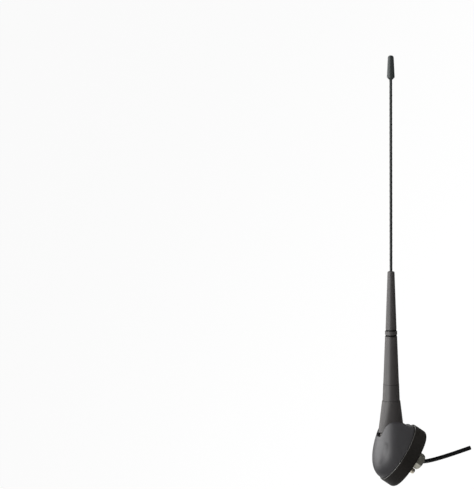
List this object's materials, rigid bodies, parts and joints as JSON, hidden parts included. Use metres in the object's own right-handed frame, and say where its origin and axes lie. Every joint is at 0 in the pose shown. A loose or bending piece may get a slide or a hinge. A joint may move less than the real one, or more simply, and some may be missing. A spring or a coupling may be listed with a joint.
{
  "type": "car roof antenna",
  "caption": "Whip antenna for a car roof: a tilting tapered mast on an egg-shaped housing with a rubber roof boot, clamped by a hollow stud and nut, with a short coaxial lead.",
  "frame": {"origin": "on the threaded stud's axis, in the plane of the roof skin that the rubber boot rests on", "axes": "+Z along the roof's outward normal, +X towards the rear of the car, the way the mast leans"},
  "size_m": [0.4211, 0.0548, 0.3348],
  "materials": {
    "boot_rubber": "matt moulded rubber",
    "housing_plastic": "fine-grained moulded plastic",
    "mast_plastic": "fine-grained moulded plastic",
    "whip_jacket": "smooth wound jacket",
    "zinc_casting": "bare die-cast zinc alloy",
    "zinc_plate": "zinc-plated steel",
    "steel": "turned steel",
    "brass": "turned brass",
    "insulator": "natural nylon",
    "cable_jacket": "extruded PVC",
    "cable_core": "polyethylene core"
  },
  "bodies": {
    "base": {"roof_boot": "boot_rubber", "housing": "housing_plastic", "base_casting": "zinc_casting", "housing_screws": "steel", "pivot_pin": "steel", "pin_clip": "steel", "friction_washers": "steel", "toothed_washer": "zinc_plate", "hex_nut": "zinc_plate", "feed_insulator": "insulator", "feed_contact": "brass", "coax_core": "cable_core", "cable_ferrule": "brass", "coax_cable": "cable_jacket"},
    "mast": {"mast_foot": "mast_plastic", "pivot_bush": "brass", "contact_band": "brass", "thread_insert": "brass", "rod_stud": "brass", "mast_sleeve": "mast_plastic", "whip_rod": "whip_jacket", "tip_cap": "whip_jacket"}
  },
  "joints": [
    {"name": "mast_tilt", "type": "hinge", "parent": "base", "child": "mast", "pos_m": [0.0056, 0, 0.034], "axis": [0, -1, 0], "range_deg": [-10, 10]}
  ]
}
